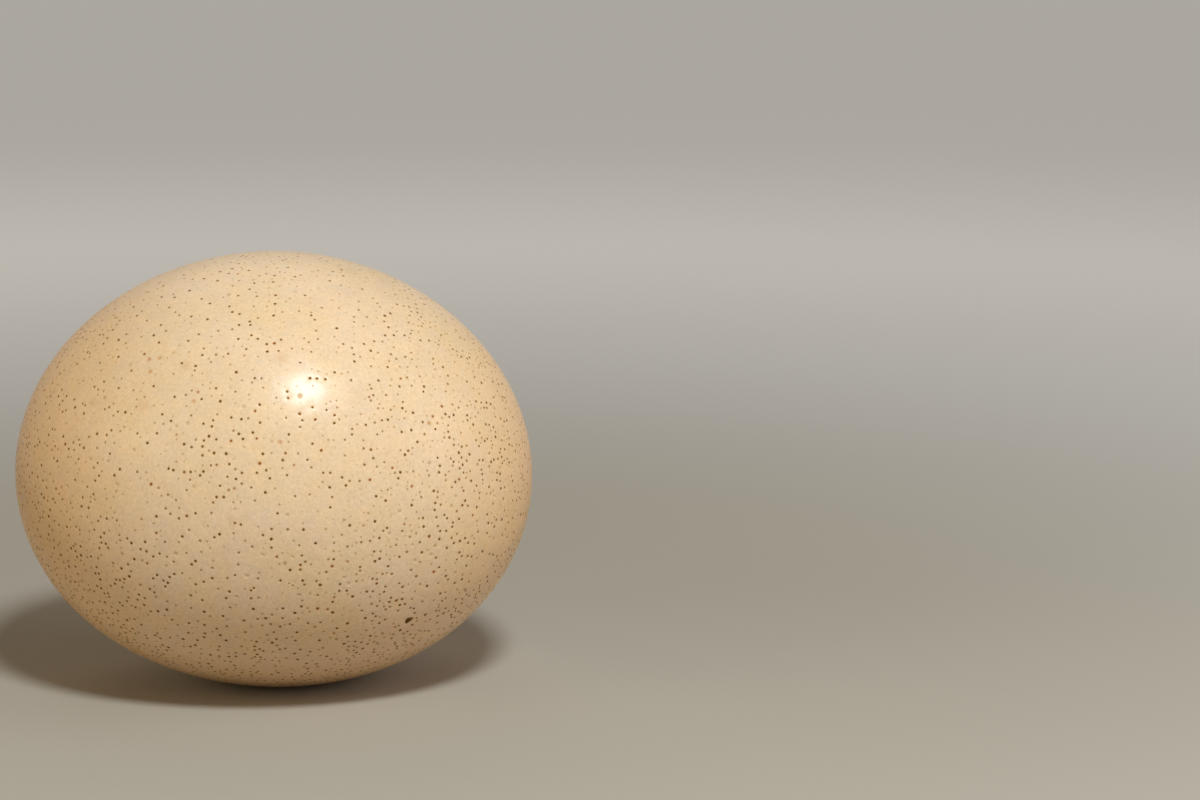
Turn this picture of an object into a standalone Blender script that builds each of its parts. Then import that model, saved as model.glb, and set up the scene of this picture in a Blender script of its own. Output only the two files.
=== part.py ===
"""Ostrich egg lying on its side: one hard-shelled ovoid that rests on a small flat spot.

Metres, +Z up. The long axis lies close to X, and the origin is on the resting spot,
under the middle of the egg."""

import math

import bmesh
import bpy
from mathutils import Matrix, Vector

# The ovoid, before it is tilted and its resting spot is taken off.
HALF_LENGTH = 0.0750
HALF_WIDTH = 0.0635
# An egg isn't turned on a lathe: seen from the side, three broad swellings lift its outline
# by this share of its radius, and the first lies this far above the +X end.
SWELL = 0.0068
SWELLINGS = 3
SWELL_ANGLE = math.radians(-35.0)

TILT = math.radians(1.6)  # the +X end lies lower by this angle
SPOT_DEPTH = 0.0005  # height of the cap that the resting spot takes off

# Facets: meridians run from the resting spot to the top, rings go round the vertical.
MERIDIANS = 72
RINGS = 34
RIM_SEARCH_ANGLE = math.radians(30.0)  # the rim of the spot lies well inside this angle
RIM_SEARCH_STEPS = 40
LOW_SEARCH_ANGLE = math.radians(6.0)  # the lowest point lies well inside this angle
LOW_SEARCH_RINGS = 60

SHELL_COLOUR = (0.78, 0.58, 0.35, 1.0)
SHELL_ROUGHNESS = 0.36
SHELL_METALLIC = 0.0


def clear_scene():
    for thing in list(bpy.data.objects):
        bpy.data.objects.remove(thing, do_unlink=True)


def shell_radius(direction):
    """Distance from the middle of the egg to its surface, with the long axis along X."""
    x, y, z = direction
    ovoid = 1.0 / math.sqrt((x / HALF_LENGTH) ** 2 + (y * y + z * z) / HALF_WIDTH**2)
    side = math.hypot(x, z) ** SWELLINGS
    lift = SWELL * side * math.cos(SWELLINGS * (math.atan2(z, x) - SWELL_ANGLE))
    return ovoid * (1.0 + lift)


def shell_point(azimuth, angle_from_down):
    """The tilted egg's surface point in this direction from its middle."""
    level = math.sin(angle_from_down)
    down = -math.cos(angle_from_down)
    direction = Vector((level * math.cos(azimuth), level * math.sin(azimuth), down))
    untilted = Matrix.Rotation(-TILT, 3, "Y") @ direction
    return direction * shell_radius(untilted)


def azimuth_of(meridian):
    return 2.0 * math.pi * meridian / MERIDIANS


def lowest_height():
    lowest = shell_point(0.0, 0.0).z
    for step in range(1, LOW_SEARCH_RINGS + 1):
        angle = LOW_SEARCH_ANGLE * step / LOW_SEARCH_RINGS
        heights = [shell_point(azimuth_of(m), angle).z for m in range(MERIDIANS)]
        lowest = min(lowest, *heights)
    return lowest


def rim_angle(azimuth, spot_height):
    """Where the meridian crosses the plane of the resting spot, found by halving."""
    inside, outside = 0.0, RIM_SEARCH_ANGLE
    for _ in range(RIM_SEARCH_STEPS):
        middle = (inside + outside) / 2.0
        if shell_point(azimuth, middle).z < spot_height:
            inside = middle
        else:
            outside = middle
    return outside


def shell_rings(spot_height):
    """Points of each ring, from the rim of the resting spot up to the last one below the top."""
    rims = [rim_angle(azimuth_of(m), spot_height) for m in range(MERIDIANS)]
    rings = []
    for ring in range(RINGS):
        share = ring / RINGS
        points = []
        for meridian, rim in enumerate(rims):
            angle = rim + (math.pi - rim) * share
            points.append(shell_point(azimuth_of(meridian), angle))
        rings.append(points)
    for point in rings[0]:
        point.z = spot_height
    return rings


def stand_on_origin(points, spot_height):
    """Moves the points so that the spot is at height zero, under the middle of their box."""
    xs = [point.x for point in points]
    ys = [point.y for point in points]
    middle = Vector(((min(xs) + max(xs)) / 2.0, (min(ys) + max(ys)) / 2.0, spot_height))
    for point in points:
        point -= middle


def build_shell_mesh():
    spot_height = lowest_height() + SPOT_DEPTH
    rings = shell_rings(spot_height)
    top_point = shell_point(0.0, math.pi)
    stand_on_origin([point for ring in rings for point in ring] + [top_point], spot_height)

    shell = bmesh.new()
    loops = [[shell.verts.new(point) for point in ring] for ring in rings]
    top = shell.verts.new(top_point)
    for lower, upper in zip(loops, loops[1:]):
        for m in range(MERIDIANS):
            n = (m + 1) % MERIDIANS
            shell.faces.new((lower[m], lower[n], upper[n], upper[m]))
    for m in range(MERIDIANS):
        n = (m + 1) % MERIDIANS
        shell.faces.new((loops[-1][m], loops[-1][n], top))
    for face in shell.faces:
        face.smooth = True
    resting_spot = shell.faces.new(list(reversed(loops[0])))
    resting_spot.smooth = False

    mesh = bpy.data.meshes.new("egg")
    shell.to_mesh(mesh)
    shell.free()
    return mesh


def shell_material():
    material = bpy.data.materials.new("shell")
    material.use_nodes = True
    surface = material.node_tree.nodes["Principled BSDF"]
    surface.inputs["Base Color"].default_value = SHELL_COLOUR
    surface.inputs["Roughness"].default_value = SHELL_ROUGHNESS
    surface.inputs["Metallic"].default_value = SHELL_METALLIC
    return material


def main():
    clear_scene()
    mesh = build_shell_mesh()
    mesh.materials.append(shell_material())
    egg = bpy.data.objects.new("egg", mesh)
    bpy.context.scene.collection.objects.link(egg)


main()
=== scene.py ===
"""Looks of the ostrich egg: a shell pitted with pores, its procedural finish, and a plain studio.

Everything is in metres in the CAD frame: +Z up, the long axis close to X, the floor at height zero.
Directions are unit vectors from the middle of the egg."""

import math

import bpy
import numpy as np
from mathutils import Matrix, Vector
from mathutils.geometry import delaunay_2d_cdt


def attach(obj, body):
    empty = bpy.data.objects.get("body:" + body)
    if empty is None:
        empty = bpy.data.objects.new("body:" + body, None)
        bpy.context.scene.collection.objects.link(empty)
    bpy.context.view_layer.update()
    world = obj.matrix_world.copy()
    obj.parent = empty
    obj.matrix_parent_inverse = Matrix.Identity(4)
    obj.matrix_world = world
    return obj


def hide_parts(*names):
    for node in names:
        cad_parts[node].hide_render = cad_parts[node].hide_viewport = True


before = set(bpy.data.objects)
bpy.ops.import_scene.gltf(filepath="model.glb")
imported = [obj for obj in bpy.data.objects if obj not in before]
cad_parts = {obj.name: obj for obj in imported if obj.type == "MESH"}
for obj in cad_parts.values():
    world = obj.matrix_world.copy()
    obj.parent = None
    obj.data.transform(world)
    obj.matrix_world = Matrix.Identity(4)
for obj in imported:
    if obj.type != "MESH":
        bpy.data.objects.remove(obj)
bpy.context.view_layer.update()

MM = 0.001

# The ovoid, as the CAD has it.
HALF_LENGTH = 0.0750
HALF_WIDTH = 0.0635
SWELL = 0.0068
SWELLINGS = 3
SWELL_ANGLE = math.radians(-35.0)
TILT = math.radians(1.6)
SPOT_DEPTH = 0.0005
SPOT_MIDDLE_X = 1.5 * MM
SPOT_REACH = 11.3 * MM  # holds the spot's outline

# Shell mesh away from the pits.
RIM_POINTS = 96
PLAIN_SPACING = 2.3 * MM
PLAIN_TRIES = 26000
PLAIN_CELL = 3.4 * MM
PLAIN_SPOT_CLEARANCE = 1.0 * MM
PLAIN_SEAM_CLEARANCE = 0.45 * MM
PLAIN_CHIP_CLEARANCE = 1.6 * MM
SEAM_SPACING = 1.1 * MM
SEAM_LIMIT = 1.0 * MM  # the seams end at this height over the egg's middle
SEAM_AZIMUTH = math.radians(60.0)  # clear of the chip, and a whole number of rim points

# Pores.
PORE_SEED = 41
PORE_COUNT = 8200
PORE_TRIES = 80000
MIDDLE_CROWD, END_CROWD, LOW_CROWD = 0.108, 0.075, 0.040  # pores to the square millimetre
ROOM_SHARES = (0.34, 0.74)  # least and most room round a pore, against even spacing
DARK_RADIUS_MM = 0.195  # of the faintest pore's core
DARK_GAIN_MM = 0.160  # more for the strongest
LOW_GAIN = 0.12  # more, as a share, low on the egg
DARK_SPREAD = (0.88, 1.12)
WIDE_AGAINST_DARK = (1.7, 2.3)
WIDE_TAIL_MM = 0.08
CRATER_RADII_MM = (0.72, 1.0)
MOST_DARK_SHARE = 0.62  # of the pit's radius
MOST_STRETCH = 0.13
SEAM_CLEARANCE = 0.55 * MM
SPOT_CLEARANCE = 1.2 * MM
CHIP_CLEARANCE = 0.4 * MM
PORE_CELL = 2.4 * MM
GAP_CELL = 3.0 * MM
PATCH_SHARE = 0.22
WEAK_STRENGTH = 0.55
CRATER_SHARE = 0.13
CRATER_ROOM = 1.7 * MM
CRATER_CORE = 0.45  # how dark a crater's core is, against other pores
PIT_SEAM_GAP = 0.12 * MM
PIT_CHIP_GAP = 0.05 * MM
PIT_GAP_SHARE = 0.43  # most of the way to the nearest pore that a pit reaches
BOWL_SHARE = 0.05  # depth of a pit's bowl against its width

# The one chip in the shell, low on the front near the +X end, and the large pit beside it.
CHIP_DIRECTION = Vector((0.609, -0.595, -0.525))
CHIP_LENGTH = 2.6 * MM
CHIP_WIDTH = 2.6 * MM
CHIP_TURN = math.radians(-58.0)
CHIP_DEPTH = 0.22 * MM
CHIP_REACH = 0.68 * CHIP_LENGTH  # holds its uneven outline
# From the middle outwards: share of the outline, share of the depth, lean, points.
CHIP_RINGS = ((0.45, 1.0, 0.12, 9), (0.80, 0.75, 0.50, 13), (1.0, 0.0, 0.15, 16))
BESIDE_CHIP_DIRECTION = Vector((0.575, -0.581, -0.576))
BESIDE_CHIP_ROOM = 2.8 * MM
BESIDE_CHIP_RADIUS = 0.42 * MM

# Coloured marks that stand out on the front.
ORANGE_SPOT_DIRECTION = Vector((-0.243, -0.857, 0.454))
RUSTY_SPOT_DIRECTION = Vector((0.143, -0.963, -0.227))
BROWN_PATCH_DIRECTION = Vector((-0.463, -0.782, 0.418))

LONG_AXIS = np.array([1.0, 0.0, 0.02])  # near enough, and along no point's normal
OUTSIDE = 9.0  # pit offset given to the shell outside every pit
MAP_HALF = 0.497  # half the side of the UV map, which leaves a thin margin
SAME_POINT = 1e-9  # points of the flat map closer than this are one


# ---------------------------------------------------------------- shape of the ovoid


def along_tilted(directions):
    """The directions as the untilted egg sees them."""
    c, s = math.cos(TILT), math.sin(TILT)
    x, y, z = directions[:, 0], directions[:, 1], directions[:, 2]
    return np.stack([x * c - z * s, y, x * s + z * c], 1)


def shell_radius(directions):
    """Distance from the middle to the surface along each direction."""
    x, y, z = along_tilted(directions).T
    ovoid = 1.0 / np.sqrt((x / HALF_LENGTH) ** 2 + (y * y + z * z) / HALF_WIDTH**2)
    side = np.hypot(x, z) ** SWELLINGS
    lift = SWELL * side * np.cos(SWELLINGS * (np.arctan2(z, x) - SWELL_ANGLE))
    return ovoid * (1.0 + lift)


def unit(vectors):
    return vectors / np.linalg.norm(vectors, axis=1)[:, None]


def on_shell(directions):
    return directions * shell_radius(directions)[:, None]


def shell_normals(directions):
    """Outward normals, from how the surface's level changes about each point."""
    points = on_shell(directions)
    step = 0.05 * MM
    slopes = []
    for axis in np.eye(3):
        ahead, behind = points + axis * step, points - axis * step
        rise = np.linalg.norm(ahead, axis=1) - shell_radius(unit(ahead))
        fall = np.linalg.norm(behind, axis=1) - shell_radius(unit(behind))
        slopes.append(rise - fall)
    return unit(np.stack(slopes, 1))


def from_angles(azimuths, downs):
    """Directions at these azimuths and angles from straight down."""
    level = np.sin(downs)
    return np.stack([level * np.cos(azimuths), level * np.sin(azimuths), -np.cos(downs)], 1)


def lowest_height():
    azimuths, downs = np.meshgrid(np.linspace(0, 2 * math.pi, 73), np.linspace(0, 0.1, 61))
    return on_shell(from_angles(azimuths.ravel(), downs.ravel()))[:, 2].min()


def rim_directions(spot_height):
    """Where each meridian crosses the plane of the resting spot, found by halving."""
    azimuths = 2 * math.pi * np.arange(RIM_POINTS) / RIM_POINTS
    inside, outside = np.zeros(RIM_POINTS), np.full(RIM_POINTS, 0.5)
    for _ in range(40):
        middle = (inside + outside) / 2
        low = on_shell(from_angles(azimuths, middle))[:, 2] < spot_height
        inside, outside = np.where(low, middle, inside), np.where(low, outside, middle)
    return from_angles(azimuths, outside)


def middle_of_egg(spot_height):
    """Where the middle of the egg is in the CAD frame."""
    azimuths = np.linspace(0, 2 * math.pi, 721)
    lengthwise = np.stack([np.cos(azimuths), 0 * azimuths, np.sin(azimuths)], 1)
    xs = on_shell(lengthwise)[:, 0]
    return np.array([-(xs.min() + xs.max()) / 2, 0.0, -spot_height])


# ---------------------------------------------------------------- where the pores are


class Scatter:
    """Points kept apart from each other, found quickly through a grid of cells."""

    def __init__(self, cell):
        self.cell = cell
        self.cells = {}
        self.points = []
        self.reaches = []

    def key(self, point):
        return tuple(int(math.floor(v / self.cell)) for v in point)

    def near(self, point):
        i, j, k = self.key(point)
        for a in (i - 1, i, i + 1):
            for b in (j - 1, j, j + 1):
                for c in (k - 1, k, k + 1):
                    yield from self.cells.get((a, b, c), ())

    def gap(self, point):
        """Distance to the nearest other point's reach."""
        gaps = (math.dist(point, self.points[o]) - self.reaches[o] for o in self.near(point))
        return min(gaps, default=1.0)

    def add(self, point, reach):
        """Adds a point that others stay this far clear of."""
        self.cells.setdefault(self.key(point), []).append(len(self.points))
        self.points.append(tuple(point))
        self.reaches.append(reach)


def waves(directions, rng, count, low, high):
    """Smooth random patches over the egg, mostly -1 to 1. Low to high is their pace round it."""
    total = np.zeros(len(directions))
    for _ in range(count):
        heading = unit(rng.normal(size=(1, 3)))[0]
        pace = rng.uniform(low, high)
        total += np.sin(pace * directions @ heading + rng.uniform(0, 2 * math.pi))
    return total / math.sqrt(count / 2) / 1.6


def smooth_step(low, high, values):
    share = np.clip((values - low) / (high - low), 0, 1)
    return share * share * (3 - 2 * share)


def pores_per_mm2(directions, patches):
    """More pores at both ends, most at the +X end and low on it, and fewest round the middle."""
    x, z = directions[:, 0], directions[:, 2]
    crowd = MIDDLE_CROWD + END_CROWD * smooth_step(0.10, 0.75, x)
    crowd = crowd + END_CROWD * smooth_step(0.25, 0.90, -x)
    crowd += LOW_CROWD * smooth_step(0.05, 0.85, -z)
    return crowd * (1 + PATCH_SHARE * patches)


def along_seams(vectors):
    """The vectors turned about Z, so that the seams of the UV map run along X and Y."""
    c, s = math.cos(SEAM_AZIMUTH), math.sin(SEAM_AZIMUTH)
    turned = vectors.copy()
    turned[:, 0] = vectors[:, 0] * c + vectors[:, 1] * s
    turned[:, 1] = vectors[:, 1] * c - vectors[:, 0] * s
    return turned


def seam_distance(points):
    """How far each point is from the seams of the UV map, which run down the lower half."""
    away = np.abs(along_seams(points)[:, :2]).min(1)
    return np.where(points[:, 2] < SEAM_LIMIT, away, 1.0)


def near_spot(points, reach):
    """Whether each point is on the lower half, within this reach of the resting spot's middle."""
    low = points[:, 2] < 0
    return low & (np.hypot(points[:, 0] - SPOT_MIDDLE_X, points[:, 1]) <= reach)


def chip_distance(points, chip):
    """How far each point is from a circle that holds the chip."""
    return np.linalg.norm(points - chip, axis=1) - CHIP_REACH


def scatter_pores(rng, chip):
    """Directions of the pores: random, patchy and kept apart. The first is beside the chip."""
    patch_rng = np.random.default_rng(PORE_SEED + 1)
    tries = unit(rng.normal(size=(PORE_TRIES, 3)))
    crowd = pores_per_mm2(tries, waves(tries, patch_rng, 9, 5, 14))
    spread = shell_radius(tries) ** 2 / np.sum(shell_normals(tries) * tries, 1)
    weight = crowd * spread
    points = on_shell(tries)
    clear = seam_distance(points) > SEAM_CLEARANCE
    clear &= ~near_spot(points, SPOT_REACH + SPOT_CLEARANCE)
    clear &= chip_distance(points, chip) > CHIP_CLEARANCE
    keep = (rng.random(PORE_TRIES) < weight / weight.max()) & clear
    room = rng.uniform(*ROOM_SHARES, PORE_TRIES) / np.sqrt(crowd) * MM
    tries[0], room[0] = BESIDE_CHIP_DIRECTION.normalized(), BESIDE_CHIP_ROOM
    points[0], keep[0] = on_shell(tries[:1])[0], True
    pores, found = Scatter(PORE_CELL), []
    for index in np.flatnonzero(keep):
        point, reach = points[index], room[index]
        if pores.gap(point) > reach / 2:
            pores.add(point, reach / 2)
            found.append(index)
        if len(found) == PORE_COUNT:
            break
    return tries[found]


# ---------------------------------------------------------------- pits in the shell


def tangents(normals):
    """Two unit vectors across each normal: one round the long axis, one along it."""
    across = unit(np.cross(normals, LONG_AXIS))
    return across, np.cross(normals, across)


class ShellMesh:
    """Collects the shell's points, by direction and depth, and the edges that must be kept."""

    def __init__(self):
        self.directions, self.depths, self.leans, self.pits = [], [], [], []
        self.offsets, self.edges = [], []
        self.count = 0

    def add(self, directions, depths=0.0, leans=None, pits=-1, offsets=None):
        """Adds points and returns the number of the first. Leans tilt their normals."""
        n, first = len(directions), self.count
        self.directions.append(directions)
        self.depths.append(np.broadcast_to(depths, n).astype(float))
        self.leans.append(np.zeros((n, 3)) if leans is None else leans)
        self.pits.append(np.broadcast_to(pits, n).astype(int))
        self.offsets.append(np.zeros((n, 2)) if offsets is None else offsets)
        self.count += n
        return first

    def loop(self, first, count, closed=True):
        ends = count if closed else count - 1
        self.edges += [(first + k, first + (k + 1) % count) for k in range(ends)]


def add_rings(shell, pores, chosen, depth, loops):
    """Adds the chosen pores. A loop is (radius, depth, lean, points), from the middle outwards."""
    centres, dark = pores.centres[chosen], pores.dark[chosen]
    stretch, turn = pores.stretch[chosen][:, None], pores.turn[chosen][:, None]
    c, s = np.cos(turn), np.sin(turn)
    names = np.flatnonzero(chosen)
    right, up = tangents(shell_normals(centres))
    seats = on_shell(centres)
    shell.add(centres, depth, pits=names)
    for radius, ring_depth, lean, count in loops:
        angles = 2 * math.pi * np.arange(count) / count
        angle = angles[None, :] + pores.phase[chosen][:, None]
        x = np.cos(angle) * radius[:, None] * stretch
        y = np.sin(angle) * radius[:, None] / stretch
        x, y = x * c - y * s, x * s + y * c
        across = x[..., None] * right[:, None, :] + y[..., None] * up[:, None, :]
        inward = -across / np.linalg.norm(across, axis=2)[..., None]
        first = shell.add(
            unit((seats[:, None, :] + across).reshape(-1, 3)),
            np.repeat(ring_depth, count),
            (inward * lean).reshape(-1, 3),
            np.repeat(names, count),
            np.stack([x / dark[:, None], y / dark[:, None]], 2).reshape(-1, 2),
        )
    for pore in range(len(centres)):
        shell.loop(first + pore * count, count)


def nearest_gaps(points):
    """Distance from each point to its nearest neighbour."""
    cells = Scatter(GAP_CELL)
    for point in points:
        cells.add(point, 0.0)
    gaps = np.empty(len(points))
    for index, point in enumerate(cells.points):
        others = [math.dist(point, cells.points[o]) for o in cells.near(point) if o != index]
        gaps[index] = min(others, default=GAP_CELL)
    return gaps


class Pores:
    """Every pore's place, strength, size and tint. The first is the large pit beside the chip."""

    def __init__(self, rng, centres, chip):
        count = len(centres)
        mood = waves(centres, np.random.default_rng(PORE_SEED + 2), 9, 4, 12)
        self.centres = centres
        low = smooth_step(0.15, -0.65, centres[:, 2])
        high = smooth_step(0.20, 0.85, centres[:, 2])
        # Strong pores are common low on the egg and in some patches, and rare on its top.
        power = np.exp(-0.02 - 0.35 * mood - 0.70 * low + 0.45 * high)
        self.strength = rng.random(count) ** power
        self.strength[0] = 1.0
        self.dark = (DARK_RADIUS_MM + DARK_GAIN_MM * self.strength) * (1 + LOW_GAIN * low) * MM
        self.dark *= rng.uniform(*DARK_SPREAD, count)
        self.dark[0] = BESIDE_CHIP_RADIUS
        points = on_shell(centres)
        gaps = nearest_gaps(points)
        weak = self.strength < WEAK_STRENGTH
        self.crater = weak & (gaps > CRATER_ROOM) & (rng.random(count) < CRATER_SHARE)
        wide = rng.uniform(*WIDE_AGAINST_DARK, count) * self.dark
        wide = wide + rng.exponential(WIDE_TAIL_MM, count) * MM
        wide = np.where(self.crater, rng.uniform(*CRATER_RADII_MM, count) * MM, wide)
        from_seam = seam_distance(points) - PIT_SEAM_GAP
        room = np.minimum(from_seam, chip_distance(points, chip) - PIT_CHIP_GAP)
        self.wide = np.minimum(np.minimum(wide, PIT_GAP_SHARE * gaps), room)
        self.dark = np.where(self.crater, 0.5 * self.wide, self.dark)
        self.dark = np.minimum(self.dark, MOST_DARK_SHARE * self.wide)
        self.stretch = 1 + rng.uniform(0, MOST_STRETCH, count)
        self.turn = rng.uniform(0, math.pi, count)
        self.phase = rng.uniform(0, 2 * math.pi, count)
        self.tint = rng.random(count)
        self.rust = rng.random(count) ** 6
        self.tint[0] = self.rust[0] = 0.0


def add_pores(shell, pores):
    """Faint pores are one ring deep. Deep ones have a dark core in a bowl, and craters are wide."""
    faint = (pores.strength < WEAK_STRENGTH) & ~pores.crater
    deep = ~faint & ~pores.crater
    wide, dark = pores.wide[faint], pores.dark[faint]
    add_rings(shell, pores, faint, BOWL_SHARE * wide + 0.12 * dark, [(wide, 0 * wide, 0.02, 6)])

    wide, dark = pores.wide[deep], pores.dark[deep]
    bowl = BOWL_SHARE * wide
    depth = bowl + (0.35 + 0.35 * pores.strength[deep]) * dark
    loops = [(1.12 * dark, bowl, 0.24, 6), (wide, 0 * wide, 0.03, 7)]
    add_rings(shell, pores, deep, depth, loops)

    wide = pores.wide[pores.crater]
    bowl = BOWL_SHARE * wide
    loops = [(0.62 * wide, bowl, 0.38, 7), (wide, 0 * wide, 0.02, 9)]
    add_rings(shell, pores, pores.crater, 1.8 * bowl, loops)


def add_chip(shell, name, centre):
    """A shallow flake gone from the shell: an uneven outline and a rough floor."""
    right, up = tangents(shell_normals(centre))
    seat = on_shell(centre)[0]
    shell.add(centre, 0.9 * CHIP_DEPTH, pits=name)
    for share, depth, lean, count in CHIP_RINGS:
        angle = 2 * math.pi * np.arange(count) / count
        uneven = 1 + 0.16 * np.cos(2 * angle + 0.9) + 0.13 * np.cos(3 * angle + 2.2)
        x = share * uneven * CHIP_LENGTH / 2 * np.cos(angle)
        y = share * uneven * CHIP_WIDTH / 2 * np.sin(angle)
        c, s = math.cos(CHIP_TURN), math.sin(CHIP_TURN)
        across = (x * c - y * s)[:, None] * right + (x * s + y * c)[:, None] * up
        first = shell.add(
            unit(seat + across),
            CHIP_DEPTH * depth * (1 + 0.25 * np.cos(5 * angle)),
            -unit(across) * lean,
            name,
            share * np.stack([np.cos(angle), np.sin(angle)], 1),
        )
    shell.loop(first, count)


# ---------------------------------------------------------------- the shell as one mesh


def add_plain_points(shell, rng, rim, pores, chip):
    """Fills the shell between the pits, so that no facet is large."""
    taken = Scatter(PLAIN_CELL)
    for point, wide in zip(on_shell(pores.centres), pores.wide):
        taken.add(point, wide)
    taken.add(chip, PLAIN_CHIP_CLEARANCE)
    for point in on_shell(rim):
        taken.add(point, 0.0)
    tries = unit(rng.normal(size=(PLAIN_TRIES, 3)))
    points = on_shell(tries)
    clear = seam_distance(points) > PLAIN_SEAM_CLEARANCE
    clear &= ~near_spot(points, SPOT_REACH + PLAIN_SPOT_CLEARANCE)
    found = []
    for index in np.flatnonzero(clear):
        if taken.gap(points[index]) > 0.60 * PLAIN_SPACING:
            taken.add(points[index], 0.5 * PLAIN_SPACING)
            found.append(index)
    shell.add(tries[found])


def add_seams(shell, rim):
    """Points down the four seams of the UV map, from the equator to the rim of the spot."""
    for quarter in range(4):
        azimuth = SEAM_AZIMUTH + quarter * math.pi / 2
        corner = round(RIM_POINTS * azimuth / (2 * math.pi))
        rim_down = math.acos(-rim[corner][2])
        steps = int((math.pi / 2 - rim_down) * HALF_WIDTH / SEAM_SPACING)
        downs = np.linspace(math.pi / 2, rim_down, steps + 1)[:-1]
        first = shell.add(from_angles(np.full(steps, azimuth), downs))
        shell.loop(first, steps, closed=False)
        shell.edges.append((first + steps - 1, corner))


def flat_map(directions):
    """Stereographic map from straight down, which keeps circles round."""
    return directions[:, :2] / (1.0 + directions[:, 2:3])


def triangulate(directions, edges):
    plane = [Vector(p) for p in flat_map(directions)]
    verts, _, faces, origins, _, _ = delaunay_2d_cdt(plane, edges, [], 0, SAME_POINT)
    if len(verts) != len(plane) or origins[-1] != [len(plane) - 1]:
        raise ValueError("two points of the shell mesh fell together")
    return np.array(faces, int)


def square_map(directions, sides):
    """Octahedral map of directions to the unit square. Sides says which way the seams fold."""
    turned = along_seams(directions)
    octa = turned / np.abs(turned).sum(1)[:, None]
    x, y = octa[:, 0], octa[:, 1]
    low = octa[:, 2] < 0
    u = np.where(low, (1 - np.abs(y)) * sides[:, 0], x)
    v = np.where(low, (1 - np.abs(x)) * sides[:, 1], y)
    return 0.5 + MAP_HALF * np.stack([u, v], 1)


def corner_sides(directions, faces):
    """For each corner, which side of the seams its triangle is on."""
    middles = along_seams(directions[faces].sum(1))[:, :2]
    return np.repeat(np.where(middles < 0, -1.0, 1.0), 3, axis=0)


def set_attribute(mesh, name, values):
    """Three numbers for each corner of the mesh, which the finish reads by this name."""
    attribute = mesh.attributes.new(name, "FLOAT_VECTOR", "CORNER")
    attribute.data.foreach_set("vector", np.ascontiguousarray(values, np.float32).ravel())


def collect_points(rng, rim):
    """Every point of the shell and every edge that must be kept, and the pores."""
    chip_direction = np.array([CHIP_DIRECTION.normalized()])
    chip = on_shell(chip_direction)[0]
    shell = ShellMesh()
    shell.add(rim)
    shell.loop(0, RIM_POINTS)
    add_seams(shell, rim)
    pores = Pores(rng, scatter_pores(rng, chip), chip)
    add_pores(shell, pores)
    add_chip(shell, len(pores.centres), chip_direction)
    add_plain_points(shell, rng, rim, pores, chip)
    return shell, pores


def spot_faces(middle_point):
    """The flat spot's triangles, from each edge of its rim to its middle."""
    here = np.arange(RIM_POINTS)
    return np.stack([(here + 1) % RIM_POINTS, here, np.full(RIM_POINTS, middle_point)], 1)


def describe_pits(mesh, faces, pits, offsets, pores):
    """Says where each corner is in its pore or in the chip, and what the pore is like."""
    corners = faces.ravel()
    chip_name = len(pores.centres)
    inside = (pits[faces] == pits[faces][:, :1]).all(1) & (pits[faces[:, 0]] >= 0)
    pit_of_corner = np.repeat(np.where(inside, pits[faces[:, 0]], -1), 3)
    in_pore = (pit_of_corner >= 0) & (pit_of_corner < chip_name)
    in_chip = pit_of_corner == chip_name
    names = pit_of_corner[in_pore]

    pore_offset = np.full((len(corners), 3), OUTSIDE)
    pore_offset[:, 2] = 0.0
    pore_offset[in_pore, :2] = offsets[corners[in_pore]]
    pore_offset[in_pore, 2] = pores.strength[names]
    pore_kind = np.zeros((len(corners), 3))
    pore_kind[in_pore, 0] = pores.tint[names]
    pore_kind[in_pore, 1] = pores.rust[names]
    pore_kind[in_pore, 2] = np.where(pores.crater, CRATER_CORE, 1.0)[names]
    chip_offset = np.full((len(corners), 3), OUTSIDE)
    chip_offset[in_chip, :2] = offsets[corners[in_chip]]
    chip_offset[:, 2] = 0.0
    set_attribute(mesh, "pore_offset", pore_offset)
    set_attribute(mesh, "pore_kind", pore_kind)
    set_attribute(mesh, "chip_offset", chip_offset)


def make_shell():
    """The shell as one mesh, and where the egg's middle is."""
    rng = np.random.default_rng(PORE_SEED)
    spot_height = lowest_height() + SPOT_DEPTH
    middle = middle_of_egg(spot_height)
    shell, pores = collect_points(rng, rim_directions(spot_height))

    directions = np.concatenate(shell.directions)
    depths = np.concatenate(shell.depths)
    normals = shell_normals(directions)
    points = on_shell(directions) - normals * depths[:, None] + middle
    points[:RIM_POINTS, 2] = 0.0
    normals = unit(normals + np.concatenate(shell.leans))
    faces = triangulate(directions, shell.edges)

    # The middle of the flat spot goes last, and its triangles close the shell.
    faces = np.concatenate([faces, spot_faces(len(points))])
    down = [[0.0, 0.0, -1.0]]
    points = np.concatenate([points, [[SPOT_MIDDLE_X, 0.0, 0.0]]])
    directions = np.concatenate([directions, down])
    normals = np.concatenate([normals, down])
    pits = np.concatenate(shell.pits + [[-1]])
    offsets = np.concatenate(shell.offsets + [[[0.0, 0.0]]])

    mesh = bpy.data.meshes.new("eggshell")
    mesh.from_pydata(points, [], faces.tolist())
    mesh.polygons.foreach_set("use_smooth", np.ones(len(faces), bool))
    describe_pits(mesh, faces, pits, offsets, pores)
    layer = mesh.uv_layers.new(name="OFBake")
    places = square_map(directions[faces.ravel()], corner_sides(directions, faces))
    layer.uv.foreach_set("vector", places.astype(np.float32).ravel())
    mesh.normals_split_custom_set_from_vertices(normals)
    mesh.validate()

    egg = bpy.data.objects.new("eggshell", mesh)
    bpy.context.scene.collection.objects.link(egg)
    return egg, middle


# ---------------------------------------------------------------- finish of the shell


def colour(red, green, blue):
    return (red, green, blue, 1.0)


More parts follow.
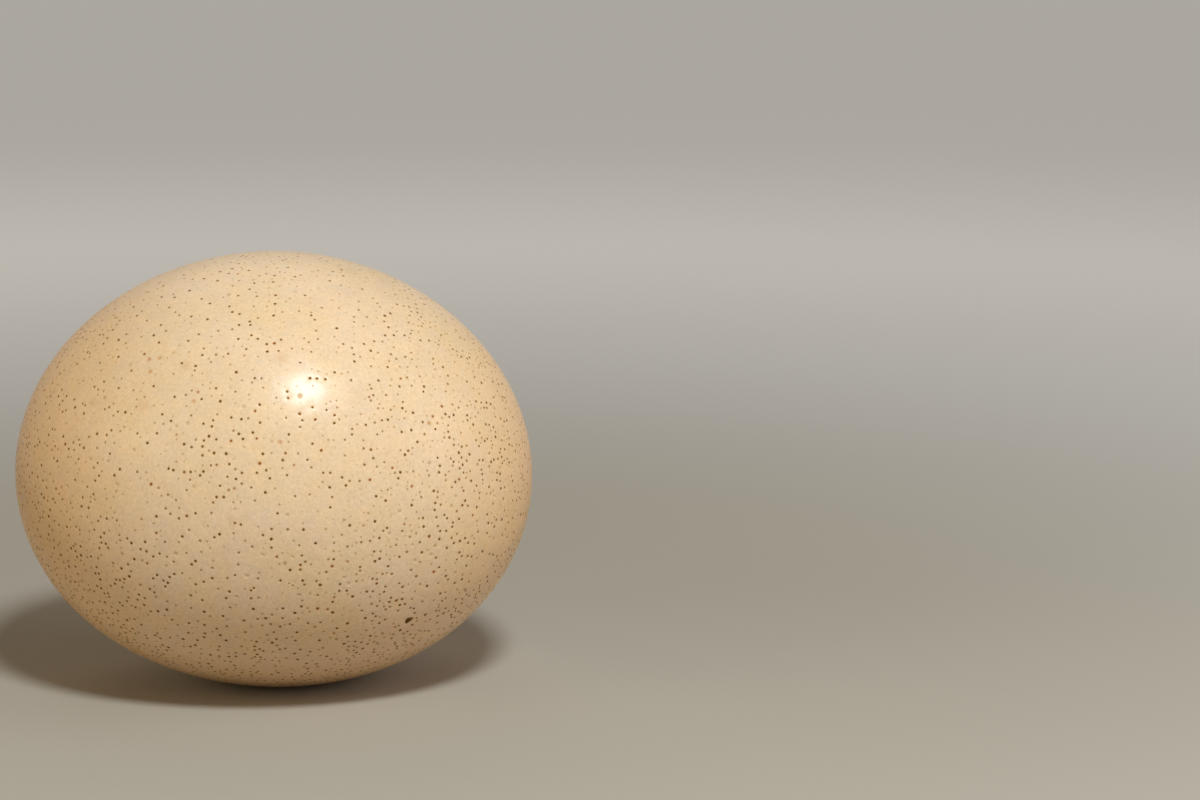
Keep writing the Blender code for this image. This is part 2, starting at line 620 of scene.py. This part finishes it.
CREAM = colour(0.795, 0.565, 0.345)
PINK_CREAM = colour(0.805, 0.575, 0.368)
STRAW = colour(0.785, 0.556, 0.318)
# Partly real tan, partly painted shade: the ends are made warmer and deeper to stand for the shade
# at the egg's edges.
END_TAN_AND_SHADE = colour(0.770, 0.440, 0.170)
# Painted shade: a darker, browner colour towards the bottom of the egg.
UNDERSIDE_SHADE = colour(0.700, 0.402, 0.165)
BOWL_TAN = colour(0.570, 0.310, 0.100)
PORE_DARK = colour(0.170, 0.062, 0.000)
PORE_OLIVE = colour(0.215, 0.098, 0.002)
PORE_FAINT = colour(0.450, 0.230, 0.020)
PORE_RUST = colour(0.330, 0.105, 0.012)
RUST_STAIN = colour(0.640, 0.340, 0.140)
SPECK_BROWN = colour(0.420, 0.260, 0.110)
ORANGE_SPOT = colour(0.620, 0.270, 0.075)
RUSTY_SPOT = colour(0.460, 0.200, 0.060)
CHIP_DARK = colour(0.130, 0.048, 0.004)
CHIP_OLIVE = colour(0.270, 0.165, 0.040)
CLEAR_BLUE = colour(0.7, 0.85, 1.0)

# Widths and places of the finish's features.
BROAD_SIZE = 34 * MM
STRAW_SIZE = 22 * MM
TAN_AND_SHADE_MIDDLE_X = 12 * MM
TAN_AND_SHADE_FROM, TAN_AND_SHADE_TO = 30 * MM, 78 * MM  # distance along X from there
UNDERSIDE_SHADE_HEIGHT = 50 * MM  # the painted shade on the underside begins below this height
CLOUD_SIZE = 6.0 * MM
HUE_SIZE = 5.5 * MM
FINE_SIZE = 0.9 * MM
STAIN_CELL = 13 * MM
STAIN_EDGE = 1.6 * MM
SPECK_CELL = 1.8 * MM
PORE_EDGE = 0.22 * MM
CHIP_EDGE = 0.7 * MM
SMEAR_SIZE = 12 * MM
SWELL_SIZE = 4.5 * MM
GRAIN_SIZE = 0.60 * MM

# Heights of its fine relief.
SWELL_HEIGHT = 0.060 * MM
GRAIN_HEIGHT = 0.062 * MM

# The eggshell's gloss, and the thin clear layer over it.
SHELL_SPECULAR = 0.15
SHELL_ROUGHNESS = (0.46, 0.54)
COAT_WEIGHT = 0.44
COAT_ROUGHNESS = 0.275


class Graph:
    """Short names for building a material's nodes."""

    def __init__(self, name):
        self.material = bpy.data.materials.new(name)
        self.material.use_nodes = True
        self.nodes = self.material.node_tree.nodes
        self.links = self.material.node_tree.links
        self.surface = self.nodes["Principled BSDF"].inputs

    def put(self, socket, value):
        if isinstance(value, bpy.types.NodeSocket):
            self.links.new(value, socket)
        else:
            socket.default_value = value

    def math(self, operation, *values, clamp=False):
        node = self.nodes.new("ShaderNodeMath")
        node.operation = operation
        node.use_clamp = clamp
        for socket, value in zip(node.inputs, values):
            self.put(socket, value)
        return node.outputs[0]

    def times(self, first, second):
        return self.math("MULTIPLY", first, second)

    def plus(self, first, second, clamp=False):
        return self.math("ADD", first, second, clamp=clamp)

    def vector(self, operation, *values, output="Vector"):
        node = self.nodes.new("ShaderNodeVectorMath")
        node.operation = operation
        for socket, value in zip(node.inputs, values):
            self.put(socket, value)
        return node.outputs[output]

    def ramp(self, value, low, high, to_low=0.0, to_high=1.0):
        """Smooth change from to_low to to_high as value goes from low to high."""
        node = self.nodes.new("ShaderNodeMapRange")
        node.interpolation_type = "SMOOTHSTEP"
        for socket, given in zip(node.inputs, (value, low, high, to_low, to_high)):
            self.put(socket, given)
        return node.outputs[0]

    def mix(self, share, first, second, blend="MIX"):
        """The two colours mixed. The node's sockets 6 and 7, and its output 2, are for colours."""
        node = self.nodes.new("ShaderNodeMix")
        node.data_type = "RGBA"
        node.blend_type = blend
        self.put(node.inputs["Factor"], share)
        self.put(node.inputs[6], first)
        self.put(node.inputs[7], second)
        return node.outputs[2]

    def noise(self, place, size, detail=2.0, roughness=0.5):
        """Noise whose features are about this size, from 0 to 1."""
        node = self.nodes.new("ShaderNodeTexNoise")
        self.put(node.inputs["Vector"], place)
        node.inputs["Scale"].default_value = 1.0 / size
        node.inputs["Detail"].default_value = detail
        node.inputs["Roughness"].default_value = roughness
        return node.outputs["Fac"]

    def roughen(self, away, place, size, amount, detail=3.0, roughness=0.5):
        """The distance made uneven by noise of this size, by up to half the amount each way."""
        noise = self.math("SUBTRACT", self.noise(place, size, detail, roughness), 0.5)
        return self.plus(away, self.times(noise, amount))

    def spots(self, place, size):
        """Distance to the nearest of scattered points in cells of this size, and its colour."""
        node = self.nodes.new("ShaderNodeTexVoronoi")
        self.put(node.inputs["Vector"], place)
        node.inputs["Scale"].default_value = 1.0 / size
        return node.outputs["Distance"], node.outputs["Color"]

    def attribute(self, name):
        node = self.nodes.new("ShaderNodeAttribute")
        node.attribute_name = name
        return node.outputs["Vector"]

    def split(self, vector):
        node = self.nodes.new("ShaderNodeSeparateXYZ")
        self.put(node.inputs[0], vector)
        return node.outputs

    def join(self, *parts):
        node = self.nodes.new("ShaderNodeCombineXYZ")
        for socket, part in zip(node.inputs, parts):
            self.put(socket, part)
        return node.outputs[0]

    def length(self, vector):
        return self.vector("LENGTH", vector, output="Value")

    def bump(self, height, distance, normal=None):
        node = self.nodes.new("ShaderNodeBump")
        node.inputs["Strength"].default_value = 1.0
        node.inputs["Distance"].default_value = distance
        self.put(node.inputs["Height"], height)
        if normal is not None:
            self.put(node.inputs["Normal"], normal)
        return node.outputs["Normal"]


def shell_colour(g, place):
    """Warm cream in broad patches, tan towards the ends that is partly painted shade, painted shade
    underneath, and fine clouding.
    """
    broad = g.noise(place, BROAD_SIZE)
    base = g.mix(g.ramp(broad, 0.36, 0.66), CREAM, PINK_CREAM)
    straw = g.noise(g.vector("ADD", place, (0.7, 0.2, 0.4)), STRAW_SIZE, detail=2.5)
    base = g.mix(g.ramp(straw, 0.48, 0.74, 0.0, 0.75), base, STRAW)
    x, _, z = g.split(place)
    # Partly painted shade: the colour deepens to tan towards both ends.
    along = g.math("ABSOLUTE", g.math("SUBTRACT", x, TAN_AND_SHADE_MIDDLE_X))
    base = g.mix(g.ramp(along, TAN_AND_SHADE_FROM, TAN_AND_SHADE_TO, 0.0, 0.65), base, END_TAN_AND_SHADE)
    # Painted shade: the colour grows darker and browner towards the bottom of the egg.
    base = g.mix(g.ramp(z, UNDERSIDE_SHADE_HEIGHT, 0.0, 0.0, 0.45), base, UNDERSIDE_SHADE)

    cloud = g.noise(place, CLOUD_SIZE, detail=3.0, roughness=0.6)
    fine = g.noise(place, FINE_SIZE, detail=3.0, roughness=0.75)
    light = g.plus(
        g.ramp(cloud, 0.25, 0.75, 0.972, 1.024), g.ramp(fine, 0.2, 0.8, -0.095, 0.095)
    )
    hue = g.math("SUBTRACT", g.noise(place, HUE_SIZE, detail=5.0, roughness=0.60), 0.5)
    red = g.math("MULTIPLY_ADD", hue, 0.120, light)
    blue = g.math("MULTIPLY_ADD", hue, -0.28, light)
    return g.mix(1.0, base, g.join(red, light, blue), "MULTIPLY")


def add_stains(g, base, place):
    """Rusty stains a few millimetres wide, few and soft."""
    away, hue = g.spots(g.vector("ADD", place, (0.031, 0.017, 0.009)), STAIN_CELL)
    away = g.roughen(away, place, STAIN_EDGE, 0.14)
    chosen = g.ramp(g.split(hue)[0], 0.72, 0.95)
    stain = g.times(g.ramp(away, 0.22, 0.02), chosen)
    return g.mix(g.times(stain, 0.40), base, RUST_STAIN)


def mark_share(g, place, direction, radius):
    """1 at a place on the shell, falling softly to 0 at this radius, with a ragged edge."""
    spot = np.array([direction.normalized()])
    centre = (on_shell(spot) + middle_of_egg(lowest_height() + SPOT_DEPTH))[0]
    away = g.vector("DISTANCE", place, tuple(centre), output="Value")
    away = g.roughen(away, place, 0.5 * radius, 0.8 * radius)
    return g.ramp(away, radius, 0.15 * radius)


def add_marks(g, base, place):
    """The orange spot, the rusty spot and the brown patch that stand out on the front."""
    orange = mark_share(g, place, ORANGE_SPOT_DIRECTION, 1.0 * MM)
    base = g.mix(g.times(orange, 0.65), base, ORANGE_SPOT)
    rusty = mark_share(g, place, RUSTY_SPOT_DIRECTION, 0.9 * MM)
    base = g.mix(g.times(rusty, 0.75), base, RUSTY_SPOT)
    brown = mark_share(g, place, BROWN_PATCH_DIRECTION, 3.4 * MM)
    return g.mix(g.times(brown, 0.22), base, RUST_STAIN)


def add_specks(g, base, place):
    """Specks too small and faint to be pits."""
    away, hue = g.spots(place, SPECK_CELL)
    speck = g.times(g.ramp(away, 0.115, 0.05), g.ramp(g.split(hue)[1], 0.15, 0.85))
    return g.mix(g.times(speck, 0.52), base, SPECK_BROWN)


def add_pore_colours(g, base, place):
    """Each pore has a dark core with an uneven edge, in a slightly browned bowl. Also the core."""
    x, y, strength = g.split(g.attribute("pore_offset"))
    tint, rust, core_weight = g.split(g.attribute("pore_kind"))
    away = g.roughen(g.length(g.join(x, y)), place, PORE_EDGE, 0.65, detail=2.0)
    core = g.ramp(away, 1.25, 0.85)
    darkness = g.math("MULTIPLY_ADD", strength, 0.92, 0.23, clamp=True)
    core_share = g.times(core, g.times(darkness, core_weight))
    bowl_share = g.times(
        g.ramp(away, 2.1, 0.9, 0.0, 0.24), g.ramp(strength, 0.1, 0.9, 0.25, 1.0)
    )
    rusty = g.ramp(rust, 0.30, 0.90)
    halo_share = g.times(g.ramp(away, 2.6, 0.7), g.times(rusty, 0.55))

    pore_colour = g.mix(tint, PORE_DARK, PORE_OLIVE)
    pore_colour = g.mix(g.ramp(strength, 0.0, 0.95), PORE_FAINT, pore_colour)
    pore_colour = g.mix(g.times(rusty, 0.85), pore_colour, PORE_RUST)
    base = g.mix(bowl_share, base, BOWL_TAN)
    base = g.mix(halo_share, base, RUST_STAIN)
    return g.mix(core_share, base, pore_colour), core


def add_chip_colour(g, base, place):
    """The chip is a dark, uneven flake. Also where it is."""
    away = g.length(g.attribute("chip_offset"))
    away = g.roughen(away, place, CHIP_EDGE, 0.9, roughness=0.6)
    chip = g.ramp(away, 1.02, 0.78)
    mottle = g.ramp(g.noise(place, CHIP_EDGE), 0.45, 0.68)
    return g.mix(chip, base, g.mix(mottle, CHIP_DARK, CHIP_OLIVE)), chip


def finish_shell():
    g = Graph("eggshell")
    place = g.nodes.new("ShaderNodeTexCoord").outputs["Object"]
    base = shell_colour(g, place)
    base = add_stains(g, base, place)
    base = add_marks(g, base, place)
    base = add_specks(g, base, place)
    base, core = add_pore_colours(g, base, place)
    base, chip = add_chip_colour(g, base, place)
    g.put(g.surface["Base Color"], base)

    smear = g.noise(place, SMEAR_SIZE, detail=3.0, roughness=0.6)
    rough = g.ramp(smear, 0.3, 0.7, *SHELL_ROUGHNESS)
    rough = g.plus(rough, g.times(core, 0.25))
    rough = g.plus(rough, g.times(chip, 0.3), clamp=True)
    g.put(g.surface["Roughness"], rough)
    g.put(g.surface["IOR"], 1.5)
    g.put(g.surface["Specular IOR Level"], SHELL_SPECULAR)
    g.put(g.surface["Specular Tint"], CLEAR_BLUE)
    pitted = g.math("MAXIMUM", core, chip)
    coat = g.math("MULTIPLY_ADD", pitted, -COAT_WEIGHT, COAT_WEIGHT, clamp=True)
    g.put(g.surface["Coat Weight"], coat)
    g.put(g.surface["Coat Roughness"], COAT_ROUGHNESS)

    normal = g.bump(g.noise(place, SWELL_SIZE), SWELL_HEIGHT)
    grain = g.noise(place, GRAIN_SIZE, detail=3.0, roughness=0.65)
    g.put(g.surface["Normal"], g.bump(grain, GRAIN_HEIGHT, normal))
    return g.material


# ---------------------------------------------------------------- studio

# Painted shade: the floor is darker and warmer round the egg, which also dims and warms the light
# it throws up onto the egg.
FLOOR_NEAR_SHADE = colour(0.44, 0.395, 0.33)
FLOOR_MIDWAY = colour(0.56, 0.55, 0.53)
FLOOR_FAR = colour(0.40, 0.40, 0.39)
BACKDROP_GLOW_TINT = colour(1.0, 0.95, 0.88)
BACKDROP_GLOW = 0.30  # painted light: the far floor and the wall glow, as a lit backdrop looks
FLAT_RADIUS = 2.6
BEND_RADIUS = 0.9
BEND_STEPS = 12
WALL_TOP = 1.9
FLOOR_SPINS = 96
FLOOR_DROP = 0.02 * MM  # the floor is this far under the egg's flat spot

# Azimuth and elevation in degrees, distance and width in metres, watts, and colour.
# Azimuth 0 is in front of the egg, at -Y, and 90 is at +X.
LAMPS = {
    "key": (20.0, 50.0, 1.1, 0.20, 9.7, (0.88, 0.965, 1.0)),
    "right_fill": (80.0, 25.0, 1.4, 1.0, 3.9, (1.0, 0.93, 0.88)),
    "left_fill": (-58.0, 22.0, 1.5, 0.7, 2.4, (1.0, 0.78, 0.34)),
    "back_fill": (195.0, 48.0, 2.0, 1.4, 3.8, (1.0, 0.91, 0.78)),
}
WORLD_TINT = colour(1.0, 0.78, 0.58)
WORLD_STRENGTH = 0.06

CAMERA_DISTANCE = 0.8284
CAMERA_PITCH = math.radians(9.0)
CAMERA_RIGHT_OF_EGG = 0.0947
CAMERA_AXIS_ABOVE_EGG = 0.0204
LENS_MM = 85.0
SENSOR_WIDTH_MM = 36.0
CLIP_START, CLIP_END = 0.01, 50.0


def floor_profile():
    """(radius, height) of the floor from near its middle to the top of the wall."""
    profile = [(FLAT_RADIUS * share, 0.0) for share in (0.2, 0.5, 1.0)]
    for step in range(1, BEND_STEPS + 1):
        angle = math.pi / 2 * step / BEND_STEPS
        radius = FLAT_RADIUS + BEND_RADIUS * math.sin(angle)
        profile.append((radius, BEND_RADIUS * (1 - math.cos(angle))))
    return profile + [(FLAT_RADIUS + BEND_RADIUS, WALL_TOP)]


def floor_mesh():
    """The profile turned about the vertical axis, with one face in its middle."""
    profile = floor_profile()
    points, faces = [], []
    for radius, height in profile:
        for spin in range(FLOOR_SPINS):
            angle = 2 * math.pi * spin / FLOOR_SPINS
            points.append((radius * math.cos(angle), radius * math.sin(angle), height))
    for row in range(len(profile) - 1):
        for spin in range(FLOOR_SPINS):
            after = (spin + 1) % FLOOR_SPINS
            low, high = row * FLOOR_SPINS, (row + 1) * FLOOR_SPINS
            faces.append((low + spin, high + spin, high + after, low + after))
    faces.append(tuple(range(FLOOR_SPINS)))
    mesh = bpy.data.meshes.new("floor")
    mesh.from_pydata(points, [], faces)
    mesh.polygons.foreach_set("use_smooth", np.ones(len(faces), bool))
    mesh.update()
    return mesh


def finish_floor():
    g = Graph("floor")
    x, y, _ = g.split(g.nodes.new("ShaderNodeTexCoord").outputs["Object"])
    away = g.length(g.join(x, y))
    # Painted shade: the floor is darker and warmer within about 0.75 m of where the egg stands.
    base = g.mix(g.ramp(away, 0.18, 0.75), FLOOR_NEAR_SHADE, FLOOR_MIDWAY)
    base = g.mix(g.ramp(away, 0.9, 2.6), base, FLOOR_FAR)
    g.put(g.surface["Base Color"], base)
    # Painted light: the floor glows more the farther it is from the middle, up the wall.
    g.put(g.surface["Emission Color"], BACKDROP_GLOW_TINT)
    g.put(g.surface["Emission Strength"], g.ramp(away, 0.05, 1.35, 0.0, BACKDROP_GLOW))
    g.put(g.surface["Roughness"], 0.9)
    g.put(g.surface["Specular IOR Level"], 0.2)
    return g.material


def make_floor():
    """A pale floor that curves up far away, all round."""
    floor = bpy.data.objects.new("floor", floor_mesh())
    floor.location.z = -FLOOR_DROP
    bpy.context.scene.collection.objects.link(floor)
    floor.data.materials.append(finish_floor())


def add_lamp(name, middle, azimuth, elevation, distance, width, watts, tint):
    """A soft round lamp aimed at the egg."""
    data = bpy.data.lights.new(name, "AREA")
    data.shape = "DISK"
    data.size = width
    data.energy = watts
    data.color = tint
    lamp = bpy.data.objects.new(name, data)
    a, e = math.radians(azimuth), math.radians(elevation)
    away = Vector((math.sin(a) * math.cos(e), -math.cos(a) * math.cos(e), math.sin(e)))
    lamp.location = middle + away * distance
    lamp.rotation_mode = "QUATERNION"
    lamp.rotation_quaternion = (middle - lamp.location).to_track_quat("-Z", "Y")
    bpy.context.scene.collection.objects.link(lamp)


def make_world():
    world = bpy.data.worlds.new("studio")
    world.use_nodes = True
    background = world.node_tree.nodes["Background"]
    background.inputs["Color"].default_value = WORLD_TINT
    background.inputs["Strength"].default_value = WORLD_STRENGTH
    bpy.context.scene.world = world


def make_camera(middle):
    """Looks along +Y and a little down, past the egg's right side."""
    data = bpy.data.cameras.new("camera")
    data.lens = LENS_MM
    data.sensor_width = SENSOR_WIDTH_MM
    data.clip_start, data.clip_end = CLIP_START, CLIP_END
    camera = bpy.data.objects.new("camera", data)
    ahead = Vector((0.0, math.cos(CAMERA_PITCH), -math.sin(CAMERA_PITCH)))
    up = Vector((0.0, math.sin(CAMERA_PITCH), math.cos(CAMERA_PITCH)))
    right = Vector((1.0, 0.0, 0.0))
    camera.location = (
        middle - ahead * CAMERA_DISTANCE + right * CAMERA_RIGHT_OF_EGG + up * CAMERA_AXIS_ABOVE_EGG
    )
    camera.rotation_euler = (math.pi / 2 - CAMERA_PITCH, 0.0, 0.0)
    bpy.context.scene.collection.objects.link(camera)
    bpy.context.scene.camera = camera


def main():
    egg, middle = make_shell()
    egg.data.materials.append(finish_shell())
    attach(egg, "root")
    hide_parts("egg")
    middle = Vector(middle)
    make_floor()
    for name, setting in LAMPS.items():
        add_lamp(name, middle, *setting)
    make_world()
    make_camera(middle)
    bpy.context.scene.view_settings.view_transform = "Standard"
    bpy.context.scene.view_settings.look = "None"


main()
